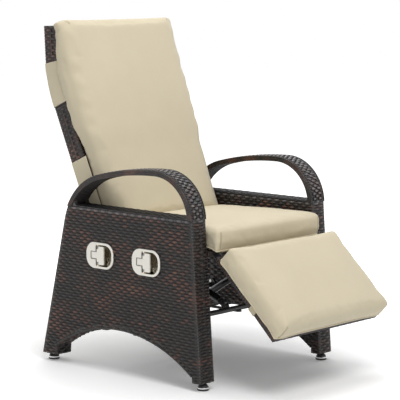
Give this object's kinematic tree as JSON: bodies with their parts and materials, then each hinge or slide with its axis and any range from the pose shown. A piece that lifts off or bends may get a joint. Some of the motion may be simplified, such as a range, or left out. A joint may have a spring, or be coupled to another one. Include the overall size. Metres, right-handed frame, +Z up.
{
  "type": "reclining garden armchair",
  "caption": "Woven garden armchair with arm loops, padded seat, reclining back, swing-up footrest, gas springs, pull handles in one side and levelling feet.",
  "frame": {"origin": "on the floor under the middle of the bounding box", "axes": "+X to the sitter's left, -Y the way the sitter faces, +Z up"},
  "size_m": [0.623, 0.9951, 1.069],
  "materials": {
    "wicker": "dark brown resin strands, satin",
    "frame_tube": "dark powder coat",
    "cushion_cloth": "woven beige outdoor cloth",
    "elastic_band": "beige elastic webbing",
    "spring_body": "black gas spring cylinder",
    "spring_rod": "polished",
    "fastener": "zinc plated",
    "handle_metal": "satin nickel",
    "handle_cup": "pressed cup, polished",
    "foot_plastic": "black",
    "foot_ring": "bright ring",
    "bush": "moulded bush"
  },
  "bodies": {
    "base": {"side_frame_left": "frame_tube", "side_frame_right": "frame_tube", "side_weave_left": "wicker", "side_weave_right": "wicker", "seat_frame": "frame_tube", "seat_deck": "wicker", "seat_cushion": "cushion_cloth", "seat_bolts": "fastener", "seat_spacers": "fastener", "front_stretcher": "frame_tube", "rear_stretcher": "frame_tube", "flange_screws": "fastener", "centre_rail": "frame_tube", "back_hinge_bolts": "fastener", "footrest_hinge_bolts": "fastener", "back_spring_clevis": "frame_tube", "back_spring_pin": "fastener", "back_handle_cup": "handle_cup", "back_handle_bezel": "handle_metal", "back_handle_pin": "fastener", "footrest_spring_clevis": "frame_tube", "footrest_spring_pin": "fastener", "footrest_handle_cup": "handle_cup", "footrest_handle_bezel": "handle_metal", "footrest_handle_pin": "fastener"},
    "back": {"back_frame": "frame_tube", "back_weave": "wicker", "back_cushion": "cushion_cloth", "upper_strap": "cushion_cloth", "lower_strap": "cushion_cloth", "back_hinge_bushes": "bush"},
    "footrest": {"footrest_frame": "frame_tube", "footrest_weave": "wicker", "footrest_cushion": "cushion_cloth", "footrest_elastic": "elastic_band", "footrest_hinge_bushes": "bush"},
    "back_gas_cylinder": {"back_spring_cylinder": "spring_body", "back_spring_gland": "bush"},
    "back_gas_rod": {"back_spring_rod": "spring_rod", "back_spring_end": "spring_body", "back_spring_release": "fastener"},
    "back_paddle": {"back_handle_paddle": "handle_metal", "back_handle_spring": "fastener"},
    "footrest_gas_cylinder": {"footrest_spring_cylinder": "spring_body", "footrest_spring_gland": "bush"},
    "footrest_gas_rod": {"footrest_spring_rod": "spring_rod", "footrest_spring_end": "spring_body", "footrest_spring_release": "fastener"},
    "footrest_paddle": {"footrest_handle_paddle": "handle_metal", "footrest_handle_spring": "fastener"},
    "levelling_foot_front_left": {"foot_front_left": "foot_plastic", "foot_ring_front_left": "foot_ring"},
    "levelling_foot_front_right": {"foot_front_right": "foot_plastic", "foot_ring_front_right": "foot_ring"},
    "levelling_foot_rear_left": {"foot_rear_left": "foot_plastic", "foot_ring_rear_left": "foot_ring"},
    "levelling_foot_rear_right": {"foot_rear_right": "foot_plastic", "foot_ring_rear_right": "foot_ring"}
  },
  "joints": [
    {"name": "back_recline", "type": "hinge", "parent": "base", "child": "back", "pos_m": [0, 0.24362, 0.396], "axis": [-1, 0, 0], "range_deg": [0, 45]},
    {"name": "footrest_swing", "type": "hinge", "parent": "base", "child": "footrest", "pos_m": [0, -0.21767, 0.396], "axis": [-1, 0, 0], "range_deg": [-42, 43.9]},
    {"name": "back_gas_cylinder_pivot", "type": "hinge", "parent": "base", "child": "back_gas_cylinder", "pos_m": [-0.055, -0.09167, 0.214], "axis": [1, 0, 0], "range_deg": [-1, 1]},
    {"name": "back_gas_rod_slide", "type": "slide", "parent": "back_gas_cylinder", "child": "back_gas_rod", "axis": [0, 0.9303, 0.3667], "range_m": [-0.0385, 0]},
    {"name": "footrest_gas_cylinder_pivot", "type": "hinge", "parent": "base", "child": "footrest_gas_cylinder", "pos_m": [0, 0.04633, 0.205], "axis": [1, 0, 0], "range_deg": [-2.3, 2.4]},
    {"name": "footrest_gas_rod_slide", "type": "slide", "parent": "footrest_gas_cylinder", "child": "footrest_gas_rod", "axis": [0, -0.8485, 0.5292], "range_m": [-0.019, 0.02]},
    {"name": "back_handle_pull", "type": "hinge", "parent": "base", "child": "back_paddle", "pos_m": [-0.308, 0.19483, 0.359], "axis": [0, 0, -1], "range_deg": [0, 22], "stiffness_Nm_per_rad": 0.2, "springref_deg": -5.73},
    {"name": "footrest_handle_pull", "type": "hinge", "parent": "base", "child": "footrest_paddle", "pos_m": [-0.308, 0.00133, 0.359], "axis": [0, 0, -1], "range_deg": [0, 22], "stiffness_Nm_per_rad": 0.2, "springref_deg": -5.73},
    {"name": "foot_front_left_screw", "type": "slide", "parent": "base", "child": "levelling_foot_front_left", "axis": [0, 0, -1], "range_m": [0, 0.008]},
    {"name": "foot_front_right_screw", "type": "slide", "parent": "base", "child": "levelling_foot_front_right", "axis": [0, 0, -1], "range_m": [0, 0.008]},
    {"name": "foot_rear_left_screw", "type": "slide", "parent": "base", "child": "levelling_foot_rear_left", "axis": [0, 0, -1], "range_m": [0, 0.008]},
    {"name": "foot_rear_right_screw", "type": "slide", "parent": "base", "child": "levelling_foot_rear_right", "axis": [0, 0, -1], "range_m": [0, 0.008]}
  ],
  "couplings": [
    {"joint": "back_gas_cylinder_pivot", "follows": "back_recline", "ratio": 0.00106},
    {"joint": "back_gas_rod_slide", "follows": "back_recline", "m_per_rad": -0.048595},
    {"joint": "footrest_gas_cylinder_pivot", "follows": "footrest_swing", "ratio": 0.05219},
    {"joint": "footrest_gas_rod_slide", "follows": "footrest_swing", "m_per_rad": 0.025426}
  ]
}
